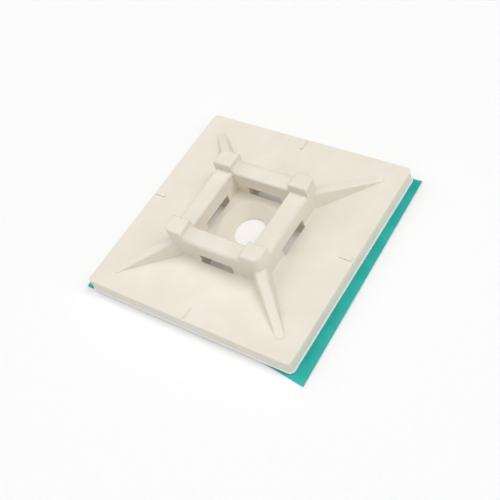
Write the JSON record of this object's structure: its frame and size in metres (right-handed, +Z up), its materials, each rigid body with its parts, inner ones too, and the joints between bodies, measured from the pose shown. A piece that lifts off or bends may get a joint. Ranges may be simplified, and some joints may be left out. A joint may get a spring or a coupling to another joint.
{
  "type": "cable tie mount",
  "caption": "Square stick-on base for a cable tie: a slotted tie frame round a countersunk screw hole, with ribs to the corners, over foam tape and a release film.",
  "frame": {"origin": "under the middle of the square base, on the underside of the release film, which is the face that lies on the surface", "axes": "+Z up out of the base, through the screw hole; +X to the base's right-hand side, +Y to its back edge"},
  "size_m": [0.0306, 0.0288, 0.0062],
  "materials": {
    "moulding": "cream injection-moulded nylon, finely spark-eroded satin face, smooth slots and cone",
    "foam": "white closed-cell foam tape with a clear tacky adhesive, cut edges slightly porous",
    "film": "thin teal release film, smooth and faintly rippled, with a soft gloss"
  },
  "bodies": {
    "root": {"mount_base": "moulding", "foam_tape": "foam", "release_film": "film"}
  },
  "joints": []
}
